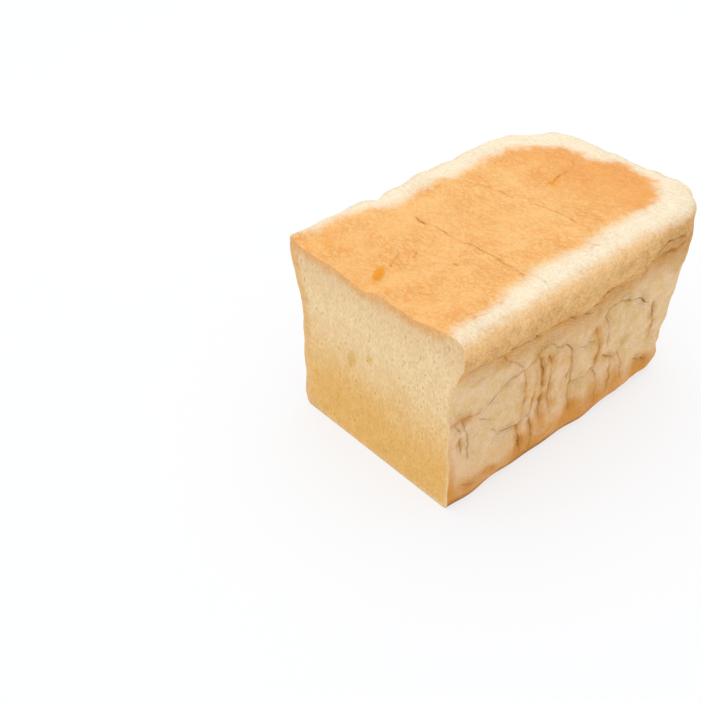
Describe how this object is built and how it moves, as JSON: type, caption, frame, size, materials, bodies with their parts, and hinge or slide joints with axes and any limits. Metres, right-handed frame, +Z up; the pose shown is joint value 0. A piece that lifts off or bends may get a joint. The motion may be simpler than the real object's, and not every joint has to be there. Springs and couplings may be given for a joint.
{
  "type": "tin loaf",
  "caption": "Square-topped white pan loaf with a golden top crust and pale creased sides, cut off flat at one end to show its crumb, lying on its base.",
  "frame": {"origin": "centre of the loaf's footprint, on the surface that it lies on", "axes": "+Z up from the base, +Y along the loaf away from the cut face, +X to the right when looking at the cut face"},
  "size_m": [0.12, 0.179, 0.1069],
  "materials": {
    "crust": "dry matt bread crust, golden on top, pale cream on the shoulders, beige and creased on the sides, with an open fine crumb on the cut end"
  },
  "bodies": {
    "root": {"tin_loaf": "crust"}
  },
  "joints": []
}
